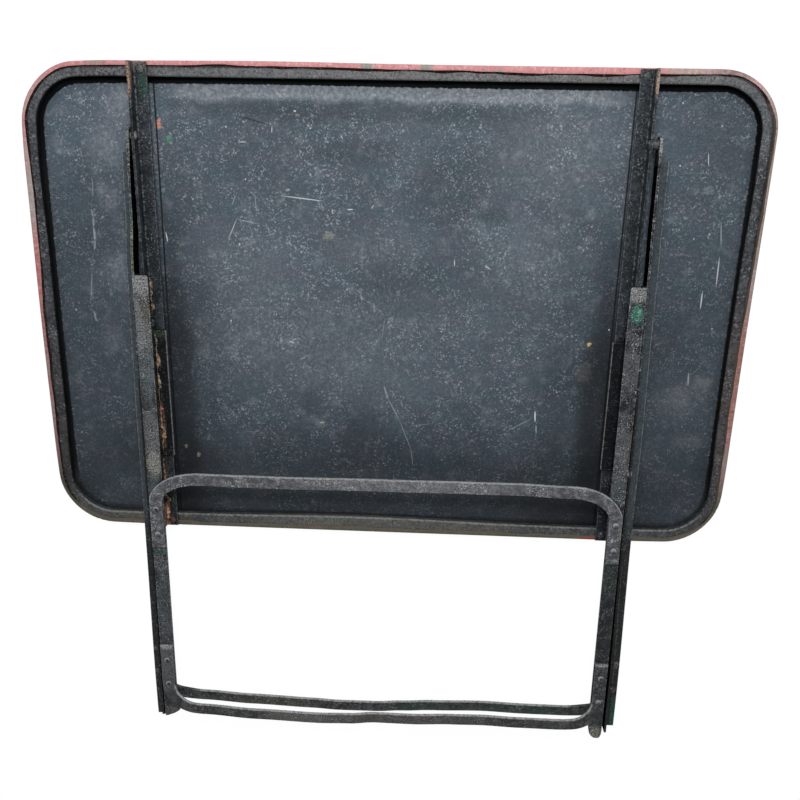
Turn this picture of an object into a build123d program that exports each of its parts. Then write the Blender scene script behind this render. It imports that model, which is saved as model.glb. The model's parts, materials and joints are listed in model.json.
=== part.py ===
import os
from math import atan2, copysign, cos, degrees, hypot, radians, sin, sqrt, tan

from build123d import *

os.makedirs("parts", exist_ok=True)

# A folding tray table lying face down: the top is a thin sheet rolled over an angle hoop, two battens
# cross its underside, and two pairs of angle legs fold flat on it. X runs along the table, +Y points to the
# edge that carries the outer legs' hinges, and Z = 0 is the table's top face, with the legs above it.

# Table top
top_length = 900.0
top_width = 600.0
corner_radius = 70.0
sheet_thickness = 1.2
edge_height = 12.2
edge_roll_radius = 3.0
lip_width = 5.0
seat_gap = 0.1

# Edge hoop, an angle bent round inside the top's edge, its flange gripped by the rolled rim
hoop_flange = 16.0
hoop_thickness = 2.5
hoop_corner_round = 2.2

# Battens, angles across the underside
batten_inset = 145.0
batten_flat = 18.0
batten_web = 18.6
batten_thickness = 3.0
batten_end_gap = 1.5
batten_rivet_inset = 9.6

# Legs
leg_side = 19.0
leg_thickness = 3.0
outer_leg_flat = 17.0
root_radius = 2.0
pivot_inset = 84.0
cross_distance = 409.0
inner_upper = 245.0
lower_leg = 403.0
flat_cutback = 19.0
eye_margin = 0.1
inner_tip_round = 2.5
inner_foot_round = 8.0
fold_angle = 65.0

# Spaces between the parts that move past each other
leg_lift = 2.3
inner_leg_lift = 8.4
batten_lane = 5.5
washer_lane = 2.0
turning_gap = 0.3
running_fit = 0.06
rivet_fit = 0.05

# Crossbars, flat bars bent edgewise into a U
bar_width = 17.0
bar_thickness = 4.0
upper_bend_radius = 32.0
lower_bend_radius = 35.0
upper_bar_drop = 23.0
upper_tab = 101.0
upper_rivets = (44.5, 81.5)
lower_bar_rise = 23.0
lower_tab = 101.0
lower_rivets = (38.0, 77.0)

# Stays, angles that swing up from the battens and hold the inner legs' upper ends
stay_flat = 17.5
stay_thickness = 3.0
stay_eye_radius = 8.4
stay_lift = 0.5
stay_side_gap = 0.5
stay_pivot_drop = 227.0
stay_reach = 182.0
stay_cutback = 11.0
stay_stop_height = 7.5
stay_seat_height = 2.0
stay_seat_gap = 0.6

# Rivets, washers and spacers
rivet_radius = 2.5
rivet_head_radius = 4.6
rivet_head_height = 2.2
batten_rivet_radius = 2.0
batten_rivet_head_radius = 5.0
batten_rivet_head_height = 2.0
pivot_radius = 2.75
pivot_head_radius = 5.2
pivot_head_height = 2.4
low_head_height = 1.6
spacer_radius = 6.0
washer_radius = 5.2

# Heights
hoop_base = sheet_thickness + seat_gap
hoop_face = edge_height - sheet_thickness - seat_gap
batten_base = edge_height + seat_gap
batten_top = batten_base + batten_web
outer_leg_base = edge_height + leg_lift
outer_leg_top = outer_leg_base + leg_side
inner_flat_under = batten_top + inner_leg_lift
inner_leg_top = inner_flat_under + leg_thickness
inner_leg_base = inner_leg_top - leg_side
stay_base = batten_base + batten_thickness + stay_lift

# Distances from the middle of the table, towards its short edges
batten_face = top_length / 2 - batten_inset
batten_inner = batten_face - batten_thickness
stay_face = batten_inner - stay_side_gap
inner_leg_near = batten_face + batten_lane
inner_leg_face = inner_leg_near + leg_thickness
outer_leg_near = inner_leg_face + washer_lane
outer_leg_face = outer_leg_near + leg_thickness
inner_flat_middle = inner_leg_face - leg_side / 2
outer_flat_middle = outer_leg_near + (leg_thickness + outer_leg_flat) / 2

# Pivot lines, as places in Y and Z
pivot_y = top_width / 2 - pivot_inset
pivot_z = outer_leg_base + leg_side / 2
cross_y = pivot_y - cross_distance
cross_z = (inner_leg_base + outer_leg_top) / 2
stay_pivot_y = pivot_y - stay_pivot_drop
stay_pivot_z = stay_base + stay_eye_radius

# Ends and crossbar lines along Y
inner_tip_y = cross_y + inner_upper
foot_y = cross_y - lower_leg
upper_bar_y = cross_y - upper_bar_drop
lower_bar_y = foot_y + lower_bar_rise
batten_end_y = top_width / 2 - batten_end_gap
batten_rivet_y = top_width / 2 - batten_rivet_inset
batten_rivet_x = (batten_inner + batten_face - batten_flat) / 2
upper_rivet_ys = [upper_bar_y - distance for distance in upper_rivets]
lower_rivet_ys = [lower_bar_y + distance for distance in lower_rivets]

sides = (("left", -1), ("right", 1))


# Where a point in Y and Z goes when a leg swings up from the folded position
def swung(point_y, point_z, centre_y, centre_z, angle):
    across = point_y - centre_y
    up = point_z - centre_z
    turned_y = centre_y + across * cos(radians(angle)) + up * sin(radians(angle))
    turned_z = centre_z - across * sin(radians(angle)) + up * cos(radians(angle))
    return turned_y, turned_z


# The inner leg's upper end when the table stands open, seen from the stay's pivot. The leg lies flat when
# folded, so it turns by what the outer leg leaves of a half turn.
inner_turn = 180 - fold_angle
cross_turn = inner_turn - fold_angle
open_cross_y, open_cross_z = swung(cross_y, cross_z, pivot_y, pivot_z, fold_angle)
open_tip_y, open_tip_z = swung(
    open_cross_y + inner_tip_y - cross_y,
    open_cross_z + inner_flat_under - cross_z,
    open_cross_y,
    open_cross_z,
    inner_turn,
)
tip_distance = hypot(open_tip_y - stay_pivot_y, open_tip_z - stay_pivot_z)
tip_direction = degrees(atan2(open_tip_z - stay_pivot_z, stay_pivot_y - open_tip_y))
seat_distance = sqrt(tip_distance**2 - stay_seat_height**2)
stay_turn = tip_direction - degrees(atan2(stay_seat_height, seat_distance))
seat_slope = radians(inner_turn - stay_turn)
ledge_height = stay_seat_height - stay_seat_gap
stop_foot = seat_distance + stay_seat_gap / sin(seat_slope) - stay_seat_gap / tan(seat_slope)
stop_top = stop_foot + (stay_stop_height - ledge_height) / tan(seat_slope)


# L section in X and Z, from its heel to the toes of its two flanges
def angle_section(plane, heel, toe, thickness):
    inner_x = heel[0] + copysign(thickness, toe[0] - heel[0])
    inner_z = heel[1] + copysign(thickness, toe[1] - heel[1])
    with BuildSketch(plane) as section:
        with BuildLine():
            Polyline(
                heel,
                (toe[0], heel[1]),
                (toe[0], inner_z),
                (inner_x, inner_z),
                (inner_x, toe[1]),
                (heel[0], toe[1]),
                close=True,
            )
        make_face()
        fillet(section.vertices().sort_by_distance((inner_x, inner_z, 0))[0], root_radius)
    return section.sketch


# Half outline of a rivet along direction: domed head, shank as long as the grip, domed tail
def rivet_outline(start, direction, grip, shank, head, head_height, tail_height):
    along = Vector(*direction)
    outward = Vector(0, 1, 0)
    with BuildSketch(Plane(start, x_dir=outward, z_dir=outward.cross(along))) as outline:
        with BuildLine():
            TangentArc((0, -head_height), (head, 0), tangent=(1, 0))
            Polyline((head, 0), (shank, 0), (shank, grip), (head, grip))
            TangentArc((0, grip + tail_height), (head, grip), tangent=(1, 0))
            Line((0, grip + tail_height), (0, -head_height))
        make_face()
    return outline.sketch


# Plane facing +X whose sketch axes are Y and Z
def lengthwise_plane(x):
    return Plane((x, 0, 0), x_dir=(0, 1, 0), z_dir=(1, 0, 0))


# Outline of a flat bar bent edgewise into a U, its tabs pointing along tab (a length in Y)
def crossbar_outline(height, bar_y, tab, tab_x, bend_radius):
    half = bar_width / 2
    toward_tab = copysign(half, tab)
    with BuildSketch(Plane.XY.offset(height)) as outline:
        with BuildLine():
            outside = FilletPolyline(
                (-tab_x - half, bar_y + tab),
                (-tab_x - half, bar_y - toward_tab),
                (tab_x + half, bar_y - toward_tab),
                (tab_x + half, bar_y + tab),
                radius=bend_radius + half,
            )
            inside = FilletPolyline(
                (-tab_x + half, bar_y + tab),
                (-tab_x + half, bar_y + toward_tab),
                (tab_x - half, bar_y + toward_tab),
                (tab_x - half, bar_y + tab),
                radius=bend_radius - half,
            )
            Line(outside @ 0, inside @ 0)
            Line(outside @ 1, inside @ 1)
        make_face()
    return outline.sketch


# Tray sheet: a shallow pan with its rim rolled back over the hoop
with BuildPart() as rim_room:
    with BuildSketch(Plane.XY.offset(sheet_thickness)):
        RectangleRounded(
            top_length - 2 * sheet_thickness,
            top_width - 2 * sheet_thickness,
            corner_radius - sheet_thickness,
        )
    extrude(amount=edge_height - 2 * sheet_thickness)
    fillet(rim_room.faces().sort_by(Axis.Z)[0].edges(), edge_roll_radius - sheet_thickness)
    fillet(rim_room.faces().sort_by(Axis.Z)[-1].edges(), edge_roll_radius - sheet_thickness)

with BuildPart() as tray_sheet:
    with BuildSketch():
        RectangleRounded(top_length, top_width, corner_radius)
    extrude(amount=edge_height)
    fillet(tray_sheet.faces().sort_by(Axis.Z)[0].edges(), edge_roll_radius)
    fillet(tray_sheet.faces().sort_by(Axis.Z)[-1].edges(), edge_roll_radius)
    add(rim_room.part, mode=Mode.SUBTRACT)
    with BuildSketch(Plane.XY.offset(edge_height / 2)):
        RectangleRounded(top_length - 2 * lip_width, top_width - 2 * lip_width, corner_radius - lip_width)
    extrude(amount=edge_height, mode=Mode.SUBTRACT)
tray_sheet.part.label = "tray_sheet"
export_step(tray_sheet.part, "parts/tray_sheet.step")

# Edge hoop: the web stands on the sheet, and the flange reaches outwards into the rolled rim
hoop_length = top_length - 2 * hoop_base
hoop_width = top_width - 2 * hoop_base
hoop_radius = corner_radius - hoop_base
web_inset = hoop_flange - hoop_thickness
with BuildPart() as edge_hoop:
    with BuildSketch(Plane.XY.offset(hoop_base)):
        RectangleRounded(hoop_length - 2 * web_inset, hoop_width - 2 * web_inset, hoop_radius - web_inset)
        offset(amount=-hoop_thickness, mode=Mode.SUBTRACT)
    extrude(amount=hoop_face - hoop_base)
    with BuildSketch(Plane.XY.offset(hoop_face)):
        RectangleRounded(hoop_length, hoop_width, hoop_radius)
        offset(amount=-hoop_flange, mode=Mode.SUBTRACT)
    extrude(amount=-hoop_thickness)
    fillet(edge_hoop.faces().sort_by(Axis.Z)[-1].edges(), hoop_corner_round)
    with Locations((0, 0, hoop_face)):
        with GridLocations(2 * batten_rivet_x, 2 * batten_rivet_y, 2, 2):
            Cylinder(batten_rivet_radius + rivet_fit, edge_height, mode=Mode.SUBTRACT)
edge_hoop.part.label = "edge_hoop"
export_step(edge_hoop.part, "parts/edge_hoop.step")

# Battens, each with the holes of its leg pivot, its stay pivot and its end rivets
for side, hand in sides:
    with BuildPart() as batten:
        section = angle_section(
            Plane.XZ.offset(-batten_end_y),
            (hand * batten_face, batten_base),
            (hand * (batten_face - batten_flat), batten_top),
            batten_thickness,
        )
        extrude(section, amount=2 * batten_end_y)
        pivot_places = [(pivot_y, pivot_z), (stay_pivot_y, stay_pivot_z)]
        with Locations([(hand * batten_face, y, z) for y, z in pivot_places]):
            Cylinder(pivot_radius + rivet_fit, batten_flat, rotation=(0, 90, 0), mode=Mode.SUBTRACT)
        with Locations((hand * batten_rivet_x, 0, batten_base)):
            with GridLocations(0, 2 * batten_rivet_y, 1, 2):
                Cylinder(batten_rivet_radius + rivet_fit, batten_web, mode=Mode.SUBTRACT)
    batten.part.label = f"{side}_batten"
    export_step(batten.part, f"parts/{side}_batten.step")

with BuildPart() as batten_rivets:
    for hand in (-1, 1):
        for end in (-1, 1):
            start = (hand * batten_rivet_x, end * batten_rivet_y, batten_base + batten_thickness)
            outline = rivet_outline(
                start,
                (0, 0, -1),
                batten_base + batten_thickness - hoop_face + hoop_thickness,
                batten_rivet_radius,
                batten_rivet_head_radius,
                batten_rivet_head_height,
                batten_rivet_head_height,
            )
            revolve(outline, axis=Axis(start, (0, 0, 1)))
batten_rivets.part.label = "batten_rivets"
export_step(batten_rivets.part, "parts/batten_rivets.step")

# Outer legs: rounded at the tray pivot, the flat flange cut back below it
for side, hand in sides:
    with BuildPart() as outer_leg:
        section = angle_section(
            Plane.XZ.offset(-pivot_y - leg_side / 2),
            (hand * outer_leg_near, outer_leg_base),
            (hand * (outer_leg_near + outer_leg_flat), outer_leg_top),
            leg_thickness,
        )
        extrude(section, amount=leg_side / 2 + pivot_y - foot_y)
        cut_length = flat_cutback + leg_side / 2
        with Locations((hand * (outer_leg_face + outer_leg_flat / 2), pivot_y - flat_cutback, pivot_z)):
            Box(
                outer_leg_flat,
                cut_length,
                leg_side,
                align=(Align.CENTER, Align.MIN, Align.CENTER),
                mode=Mode.SUBTRACT,
            )
        eye_edges = outer_leg.edges().filter_by(Axis.X).group_by(Axis.Y)[-1]
        fillet(eye_edges, leg_side / 2 - eye_margin)
        with Locations((hand * outer_leg_near, pivot_y, pivot_z)):
            Cylinder(pivot_radius + running_fit, leg_side, rotation=(0, 90, 0), mode=Mode.SUBTRACT)
        with Locations((hand * outer_leg_near, cross_y, cross_z)):
            Cylinder(pivot_radius + rivet_fit, leg_side, rotation=(0, 90, 0), mode=Mode.SUBTRACT)
        with Locations([(hand * outer_flat_middle, rivet_y, outer_leg_base) for rivet_y in lower_rivet_ys]):
            Cylinder(rivet_radius + rivet_fit, leg_side, mode=Mode.SUBTRACT)
    outer_leg.part.label = f"{side}_outer_leg"
    export_step(outer_leg.part, f"parts/{side}_outer_leg.step")

# Inner legs: the flat flange faces away from the top and is rounded at its two ends
for side, hand in sides:
    with BuildPart() as inner_leg:
        section = angle_section(
            Plane.XZ.offset(-inner_tip_y),
            (hand * inner_leg_face, inner_leg_top),
            (hand * (inner_leg_face - leg_side), inner_leg_base),
            leg_thickness,
        )
        extrude(section, amount=inner_tip_y - foot_y)
        for end_y, end_round in ((inner_tip_y, inner_tip_round), (foot_y, inner_foot_round)):
            toe_edges = inner_leg.edges().filter_by(Axis.Z).sort_by_distance((0, end_y, inner_leg_top))
            fillet(toe_edges[0], end_round)
        with Locations((hand * inner_leg_face, cross_y, cross_z)):
            Cylinder(pivot_radius + running_fit, leg_side, rotation=(0, 90, 0), mode=Mode.SUBTRACT)
        rivet_ys = upper_rivet_ys + lower_rivet_ys
        with Locations([(hand * inner_flat_middle, rivet_y, inner_leg_top) for rivet_y in rivet_ys]):
            Cylinder(rivet_radius + rivet_fit, leg_side, mode=Mode.SUBTRACT)
    inner_leg.part.label = f"{side}_inner_leg"
    export_step(inner_leg.part, f"parts/{side}_inner_leg.step")

# Crossbars and their rivets: where each bar lies, its tabs and bend, and the legs' face that it is riveted to
upper_bar = (upper_bar_y, -upper_tab, upper_bend_radius, upper_rivet_ys)
lower_bar = (lower_bar_y, lower_tab, lower_bend_radius, lower_rivet_ys)
inner_seat = (inner_flat_middle, inner_leg_top, 1)
outer_seat = (outer_flat_middle, outer_leg_base, -1)
crossbars = (
    ("inner_upper", upper_bar, inner_seat),
    ("inner_lower", lower_bar, inner_seat),
    ("outer_lower", lower_bar, outer_seat),
)
for name, bar, seat in crossbars:
    bar_y, tab, bend_radius, rivet_ys = bar
    tab_x, leg_surface, up = seat
    with BuildPart() as crossbar:
        extrude(crossbar_outline(leg_surface, bar_y, tab, tab_x, bend_radius), amount=up * bar_thickness)
        with Locations([(hand * tab_x, rivet_y, leg_surface) for hand in (-1, 1) for rivet_y in rivet_ys]):
            Cylinder(rivet_radius + rivet_fit, leg_side, mode=Mode.SUBTRACT)
    crossbar.part.label = f"{name}_crossbar"
    export_step(crossbar.part, f"parts/{name}_crossbar.step")

    with BuildPart() as crossbar_rivets:
        for hand in (-1, 1):
            for rivet_y in rivet_ys:
                start = (hand * tab_x, rivet_y, leg_surface + up * bar_thickness)
                outline = rivet_outline(
                    start,
                    (0, 0, -up),
                    bar_thickness + leg_thickness,
                    rivet_radius,
                    rivet_head_radius,
                    rivet_head_height,
                    rivet_head_height,
                )
                revolve(outline, axis=Axis(start, (0, 0, 1)))
    crossbar_rivets.part.label = f"{name}_crossbar_rivets"
    export_step(crossbar_rivets.part, f"parts/{name}_crossbar_rivets.step")

# Pivots: each starts on the face nearer the middle of the table and grips outwards
for side, hand in sides:
    outward = (hand, 0, 0)
    tray_pivot_start = (hand * batten_inner, pivot_y, pivot_z)
    tray_pivot_grip = outer_leg_face + turning_gap - batten_inner
    cross_pivot_start = (hand * (inner_leg_near - turning_gap), cross_y, cross_z)
    cross_pivot_grip = outer_leg_face - inner_leg_near + turning_gap
    stay_pivot_start = (hand * (stay_face - stay_thickness - turning_gap), stay_pivot_y, stay_pivot_z)
    stay_pivot_grip = batten_face - stay_face + stay_thickness + turning_gap
    pivots = (
        ("tray_pivot", tray_pivot_start, tray_pivot_grip, pivot_head_height, pivot_head_height),
        ("cross_pivot", cross_pivot_start, cross_pivot_grip, low_head_height, pivot_head_height),
        ("stay_pivot", stay_pivot_start, stay_pivot_grip, pivot_head_height, low_head_height),
    )
    for name, start, grip, head_height, tail_height in pivots:
        with BuildPart() as pivot:
            outline = rivet_outline(
                start, outward, grip, pivot_radius, pivot_head_radius, head_height, tail_height
            )
            revolve(outline, axis=Axis(start, (1, 0, 0)))
        pivot.part.label = f"{side}_{name}"
        export_step(pivot.part, f"parts/{side}_{name}.step")

# Sleeves between batten and outer leg, and washers between the crossing legs
spacer_length = outer_leg_near - batten_face - turning_gap
washer_thickness = washer_lane - turning_gap
for side, hand in sides:
    spacer_place = (hand * (batten_face + spacer_length / 2), pivot_y, pivot_z)
    washer_place = (hand * (outer_leg_near - washer_thickness / 2), cross_y, cross_z)
    rings = (
        ("pivot_spacer", spacer_place, spacer_radius, spacer_length),
        ("cross_washer", washer_place, washer_radius, washer_thickness),
    )
    for name, place, ring_radius, ring_length in rings:
        with BuildPart() as ring:
            with Locations(place):
                Cylinder(ring_radius, ring_length, rotation=(0, 90, 0))
                Cylinder(pivot_radius + rivet_fit, ring_length, rotation=(0, 90, 0), mode=Mode.SUBTRACT)
        ring.part.label = f"{side}_{name}"
        export_step(ring.part, f"parts/{side}_{name}.step")

# Stays: an eye on the pivot, a flat flange in the batten's corner, a ledge for the inner leg's end and a stop
for side, hand in sides:
    web_low_x = min(hand * stay_face, hand * (stay_face - stay_thickness))
    with BuildPart() as stay:
        with BuildSketch(lengthwise_plane(web_low_x)):
            with BuildLine():
                Polyline(
                    (stay_pivot_y, stay_base),
                    (stay_pivot_y - stay_reach, stay_base),
                    (stay_pivot_y - stay_reach, stay_pivot_z + stay_stop_height),
                    (stay_pivot_y - stop_top, stay_pivot_z + stay_stop_height),
                    (stay_pivot_y - stop_foot, stay_pivot_z + ledge_height),
                    (stay_pivot_y, stay_pivot_z + ledge_height),
                    close=True,
                )
            make_face()
            with Locations((stay_pivot_y, stay_pivot_z)):
                Circle(stay_eye_radius)
        extrude(amount=stay_thickness)
        flat_length = stay_reach - stay_cutback
        with Locations((hand * (stay_face - stay_flat / 2), stay_pivot_y - stay_cutback, stay_base)):
            Box(stay_flat, flat_length, stay_thickness, align=(Align.CENTER, Align.MAX, Align.MIN))
        heel = (hand * stay_face, stay_pivot_y - stay_reach / 2, stay_base)
        fillet(stay.edges().filter_by(Axis.Y).sort_by_distance(heel)[0], root_radius)
        with Locations((hand * stay_face, stay_pivot_y, stay_pivot_z)):
            Cylinder(pivot_radius + running_fit, leg_side, rotation=(0, 90, 0), mode=Mode.SUBTRACT)
    stay.part.label = f"{side}_stay"
    export_step(stay.part, f"parts/{side}_stay.step")

print(f"stay turn {stay_turn:.4f} degrees, ratio {stay_turn / fold_angle:.6f}")
print(f"cross turn {cross_turn:.4f} degrees, ratio {cross_turn / fold_angle:.6f}")
print(f"tray pivot y {pivot_y:.2f} z {pivot_z:.2f}")
print(f"cross pivot y {cross_y:.2f} z {cross_z:.2f}")
print(f"stay pivot y {stay_pivot_y:.2f} z {stay_pivot_z:.2f}")
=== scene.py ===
import bpy
import bmesh
import json
from math import atan2, copysign, cos, exp, pi, radians, sin, sqrt
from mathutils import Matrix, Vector, noise


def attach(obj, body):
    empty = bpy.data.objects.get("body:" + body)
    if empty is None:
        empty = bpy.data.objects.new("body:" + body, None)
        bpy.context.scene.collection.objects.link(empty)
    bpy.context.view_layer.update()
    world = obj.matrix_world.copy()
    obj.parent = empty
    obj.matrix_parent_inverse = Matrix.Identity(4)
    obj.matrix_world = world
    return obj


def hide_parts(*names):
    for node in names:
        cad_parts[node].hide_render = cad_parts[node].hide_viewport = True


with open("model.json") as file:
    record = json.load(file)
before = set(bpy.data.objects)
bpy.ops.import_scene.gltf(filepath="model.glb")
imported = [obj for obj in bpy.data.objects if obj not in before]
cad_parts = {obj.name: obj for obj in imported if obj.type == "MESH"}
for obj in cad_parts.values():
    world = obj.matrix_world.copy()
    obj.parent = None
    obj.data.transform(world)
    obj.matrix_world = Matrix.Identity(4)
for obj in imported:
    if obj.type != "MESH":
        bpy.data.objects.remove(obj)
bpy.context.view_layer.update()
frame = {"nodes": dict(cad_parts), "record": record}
scene = bpy.context.scene
nodes = frame["nodes"]
nodeBody = {name: body for body, names in frame["record"]["behaviour"]["bodies"].items() for name in names}
print("frame loaded:", len(nodes), "nodes")


# a node's output that takes part in sums, each step of a sum being a node of the same tree
class channel:
    def __init__(self, socket):
        self.socket = socket
        self.tree = socket.id_data

    def __add__(self, other):
        return maths("ADD", self, other)

    def __sub__(self, other):
        return maths("SUBTRACT", self, other)

    def __rsub__(self, other):
        return maths("SUBTRACT", other, self)

    def __mul__(self, other):
        return maths("MULTIPLY", self, other)

    def __abs__(self):
        return maths("ABSOLUTE", self)

    def into(self, socket):
        self.tree.links.new(self.socket, socket)


def treeOf(*values):
    return next(value.tree for value in values if isinstance(value, channel))


def feed(socket, value):
    if isinstance(value, channel):
        value.into(socket)
    else:
        socket.default_value = value


def addNode(tree, kind, inputs=None, **settings):
    node = tree.nodes.new("ShaderNode" + kind)
    for key, value in settings.items():
        setattr(node, key, value)
    for key, value in (inputs or {}).items():
        feed(node.inputs[key], value)
    return node


def maths(operation, first, second=0.0, clamp=False):
    settings = dict(operation=operation, use_clamp=clamp)
    return channel(addNode(treeOf(first, second), "Math", {0: first, 1: second}, **settings).outputs[0])


def most(first, second):
    return maths("MAXIMUM", first, second)


def vectors(operation, first, second=(0, 0, 0), third=(0, 0, 0)):
    node = addNode(first.tree, "VectorMath", {0: first, 1: second, 2: third}, operation=operation)
    return channel(node.outputs["Value" if operation == "LENGTH" else "Vector"])


def axesOf(where):
    return [channel(output) for output in addNode(where.tree, "SeparateXYZ", {0: where}).outputs]


def spread(value, low, high, toLow=0.0, toHigh=1.0, how="SMOOTHSTEP"):
    sockets = {"Value": value, "From Min": low, "From Max": high, "To Min": toLow, "To Max": toHigh}
    return channel(addNode(value.tree, "MapRange", sockets, interpolation_type=how).outputs[0])


def tint(amount, under, over, how="MIX"):
    node = addNode(treeOf(amount, under, over), "Mix", {0: amount}, data_type="RGBA", blend_type=how)
    for key, value in ((6, under), (7, over)):
        feed(node.inputs[key], value if isinstance(value, channel) else (*value, 1.0))
    return channel(node.outputs[2])


def darken(colour, level):
    grey = addNode(level.tree, "CombineColor", {0: level, 1: level, 2: level}).outputs[0]
    return tint(1.0, colour, channel(grey), "MULTIPLY")


def cloud(where, scale, detail=3.0, rough=0.55):
    sockets = {"Vector": where, "Scale": scale, "Detail": detail, "Roughness": rough}
    return channel(addNode(where.tree, "TexNoise", sockets).outputs[0])


def occlusion(where, reach, samples=6, **settings):
    sockets = {"Distance": reach}
    return channel(addNode(where.tree, "AmbientOcclusion", sockets, samples=samples, **settings).outputs["AO"])


# round spots: cell is the spacing in metres, share how many cells hold one, size a part of the cell
def spots(where, cell, share, size):
    cells = addNode(where.tree, "TexVoronoi", {"Vector": where, "Scale": 1.0 / cell})
    chance = addNode(where.tree, "SeparateColor", {0: channel(cells.outputs["Color"])})
    dot = maths("LESS_THAN", channel(cells.outputs["Distance"]), channel(chance.outputs[1]) * size)
    return dot * maths("LESS_THAN", channel(chance.outputs[0]), share)


# an oval mark on the paint: half lengths, how ragged and how soft its edge is, turn about Z
# Mapping is kept for turned marks, since many of them at once are too much for the renderer
def mark(where, centre, half, ragged=None, rag=0.0, soft=0.3, turn=0.0):
    if turn:
        sockets = {"Vector": where, "Location": centre, "Rotation": (0, 0, turn), "Scale": half}
        local = channel(addNode(where.tree, "Mapping", sockets, vector_type="TEXTURE").outputs[0])
    else:
        offset = [-place / size for place, size in zip(centre, half)]
        local = vectors("MULTIPLY_ADD", where, [1 / size for size in half], offset)
    reach = vectors("LENGTH", local)
    if rag:
        reach = reach + (ragged - 0.5) * (2.0 * rag)
    return spread(reach, 1.0 - soft, 1.0 + soft, 1.0, 0.0)


# the tables of marks are in millimetres
def inMetres(*lengths):
    return tuple(length / 1000 for length in lengths)


# a depth at which a mark takes no account of Z
anyDepth = 1000


def scratch(where, start, end, width):
    run = Vector(end) - Vector(start)
    middle = inMetres((start[0] + end[0]) / 2, (start[1] + end[1]) / 2, 1)
    return mark(where, middle, inMetres(run.length / 2, width / 2, 50), soft=0.25, turn=atan2(run.y, run.x))


# the tray's outline: middle of its upper right corner and the corner's radius
# then the panel's top, where the hoop begins, the lip's underside and its inner edge
rim = dict(x=0.38, y=0.23, radius=0.07, panelTop=0.006, hoop=0.0125, lipUnder=0.0106, lipEdge=0.0044)


# how far a place lies in from the tray's outline
def rimInset(where):
    past = vectors("SUBTRACT", vectors("ABSOLUTE", where), (rim["x"], rim["y"], 1.0))
    return rim["radius"] - vectors("LENGTH", vectors("MAXIMUM", past))


# every piece keeps its unbent places as an attribute, so the paint follows the metal when it is bent
def newFinish(name, specular):
    finish = bpy.data.materials.new(name)
    finish.use_nodes = True
    shader = finish.node_tree.nodes["Principled BSDF"]
    shader.inputs["Specular IOR Level"].default_value = specular
    where = addNode(finish.node_tree, "Attribute", attribute_name="flatPlace").outputs["Vector"]
    return finish, shader, channel(where)


def dress(shader, colour, rough, height=None, strength=0.0, distance=0.0):
    colour.into(shader.inputs["Base Color"])
    rough.into(shader.inputs["Roughness"])
    if height:
        sockets = {"Strength": strength, "Distance": distance, "Height": height}
        channel(addNode(colour.tree, "Bump", sockets).outputs[0]).into(shader.inputs["Normal"])


# marks that lie on one flat, in millimetres: rows of middle, half size, colour, amount
def onFlat(z, depth, *rows):
    return tuple((inMetres(*middle, z), inMetres(*half, depth), *rest) for middle, half, *rest in rows)


# old paint on iron: mottled in two tones, with local marks, pale flecks, dark pits, rubbed edges and painted shade
# in the corners
def agedPaint(name, look, extra=None):
    finish, shader, where = newFinish(name, look["specular"])
    clouds = cloud(where, look["cloudScale"], 5.0, 0.65)
    ragged = cloud(where, 250.0, 4.0, 0.7)
    fine = cloud(where, 520.0, 2.0, 0.6)
    mottle = clouds * (1 - look["grain"]) + ragged * look["grain"]
    colour = tint(spread(mottle, 0.43, 0.6), look["deep"], look["pale"])
    for centre, half, markColour, amount in look["marks"]:
        mask = mark(where, centre, half, ragged, 0.9, 0.3) * amount * spread(fine, 0.36, 0.58, 0.12, 1.0)
        colour = tint(mask, colour, markColour)
    crowd = spread(cloud(where, 55.0, 4.0, 0.6), 0.43, 0.59, 0.08, 1.0)
    for layer, low, high, amount in zip((fine, ragged), (0.585, 0.6), (0.65, 0.66), look["flecks"]):
        colour = tint(spread(layer, low, high, 0.0, amount) * crowd, colour, look["fleckColour"])
    colour = darken(colour, spread(fine, 0.34, 0.44, look["pits"], 1.0))
    edge = 1.0 - occlusion(where, look["edgeReach"], inside=True, only_local=True)
    edge = spread(edge + (ragged - 0.52) * 1.5, 0.32, 0.46, 0.0, look["edgeAmount"])
    colour = tint(edge, colour, look["edgeColour"])
    if extra:
        colour = extra(where, colour, ragged)
    # painted shade: darker where other surfaces come near, in corners and between parts
    occludedCorners = occlusion(where, look["cornerReach"])
    colour = darken(colour, spread(occludedCorners, 0.25, 0.85, look["paintedCornerShade"], 1.0))
    lumps = ragged * 1.6 + fine * 0.5
    dress(shader, colour, spread(clouds, 0.3, 0.7, *look["rough"]), lumps, 0.6, 0.0008)
    return finish


# a finished mesh becomes a piece that rides on a body
def makePiece(mesh, name, body, finishes, smoothTo=38):
    data = bpy.data.meshes.new(name)
    mesh.to_mesh(data)
    mesh.free()
    data.shade_smooth()
    data.set_sharp_from_angle(angle=radians(smoothTo))
    piece = bpy.data.objects.new(name, data)
    scene.collection.objects.link(piece)
    for finish in finishes:
        data.materials.append(finish)
    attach(piece, body)
    return piece


def camelCase(name):
    first, *others = name.split("_")
    return first + "".join(word.capitalize() for word in others)


def keepFlatPlaces(mesh):
    layer = mesh.verts.layers.float_vector.new("flatPlace")
    for vert in mesh.verts:
        vert[layer] = vert.co


# closer points than this are one point
merge = 0.00001


def cutAt(mesh, *stationLists):
    for normal, stations in zip(((1, 0, 0), (0, 1, 0), (0, 0, 1)), stationLists):
        for station in stations:
            everything = mesh.verts[:] + mesh.edges[:] + mesh.faces[:]
            bmesh.ops.bisect_plane(mesh, geom=everything, dist=merge,
                                   plane_co=Vector(normal) * station, plane_no=normal)


def rubRound(mesh, edges, offset, steps):
    bmesh.ops.bevel(mesh, geom=edges, offset=offset, offset_type="OFFSET", segments=steps, profile=0.5,
                    affect="EDGES", clamp_overlap=True, material=-1)


def sharpEdges(mesh):
    return [edge for edge in mesh.edges if edge.is_manifold and edge.calc_face_angle() > radians(50)]


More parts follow.
